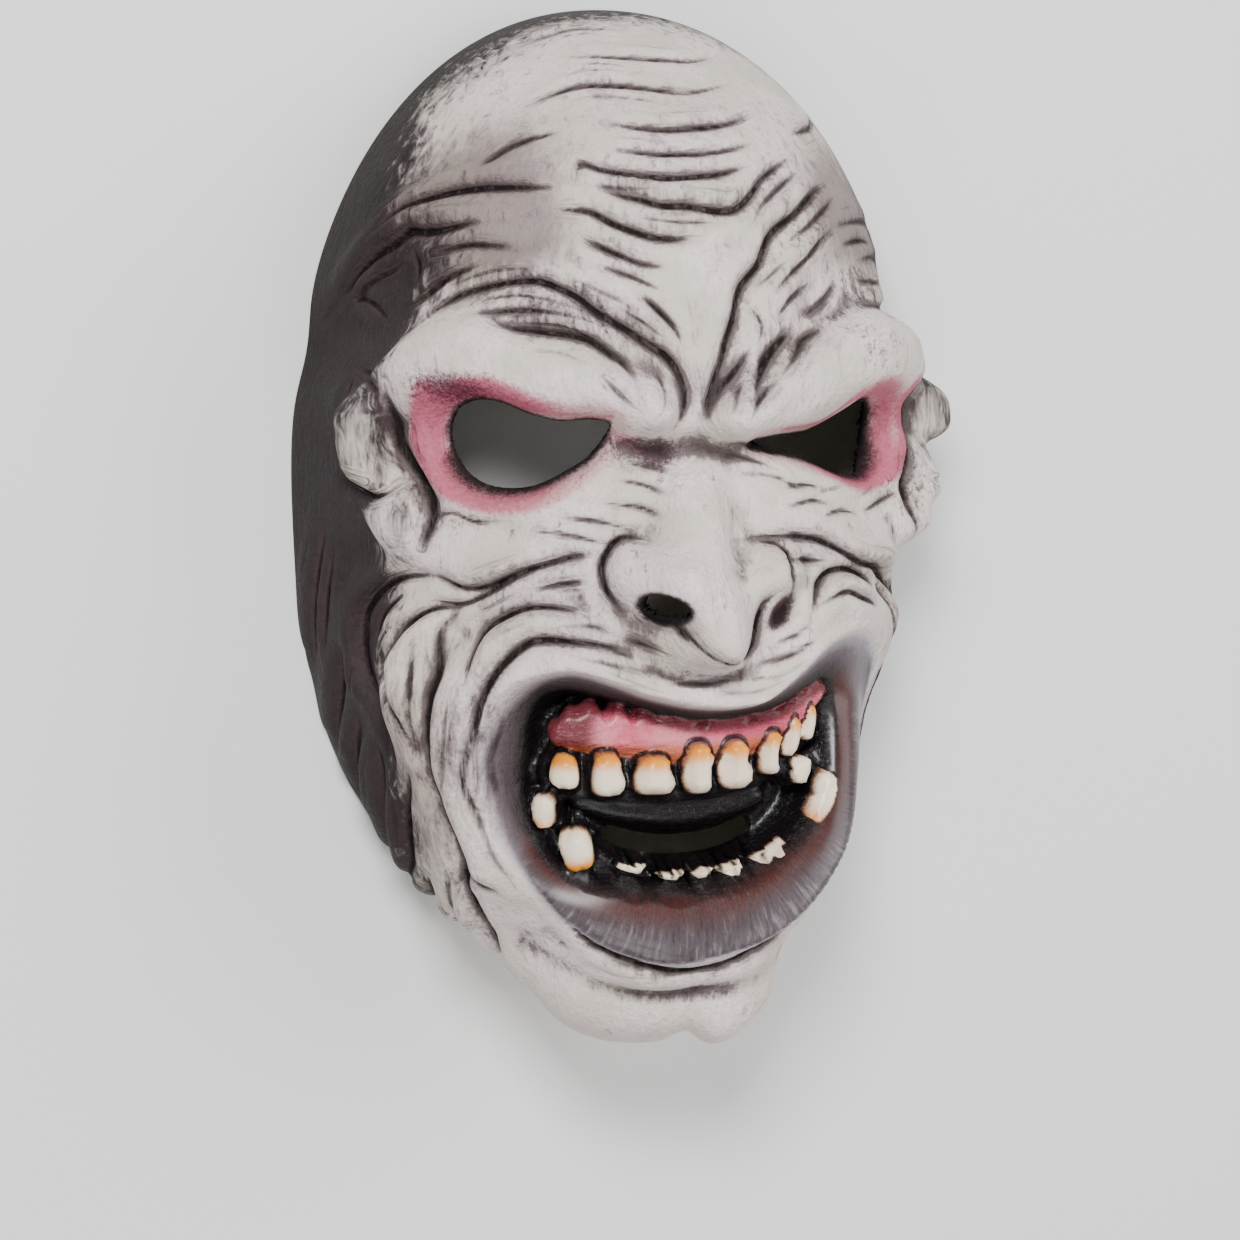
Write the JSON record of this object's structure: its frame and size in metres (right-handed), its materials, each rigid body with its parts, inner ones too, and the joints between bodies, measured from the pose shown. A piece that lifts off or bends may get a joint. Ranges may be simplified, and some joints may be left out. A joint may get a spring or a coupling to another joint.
{
  "type": "zombie mask",
  "caption": "Hollow latex zombie face mask with a deep brow, hooked nose, folded cheeks and a snarling open mouth full of broken teeth, lying face up on its flat rim.",
  "frame": {"origin": "middle of the mask's outline, on the level of the rim that it lies on", "axes": "+X to the viewer's right across the face, +Y from the chin to the forehead, +Z out of the face"},
  "size_m": [0.1454, 0.2274, 0.0905],
  "materials": {
    "latex": "painted cast latex, satin"
  },
  "bodies": {
    "root": {"mask": "latex"}
  },
  "joints": []
}
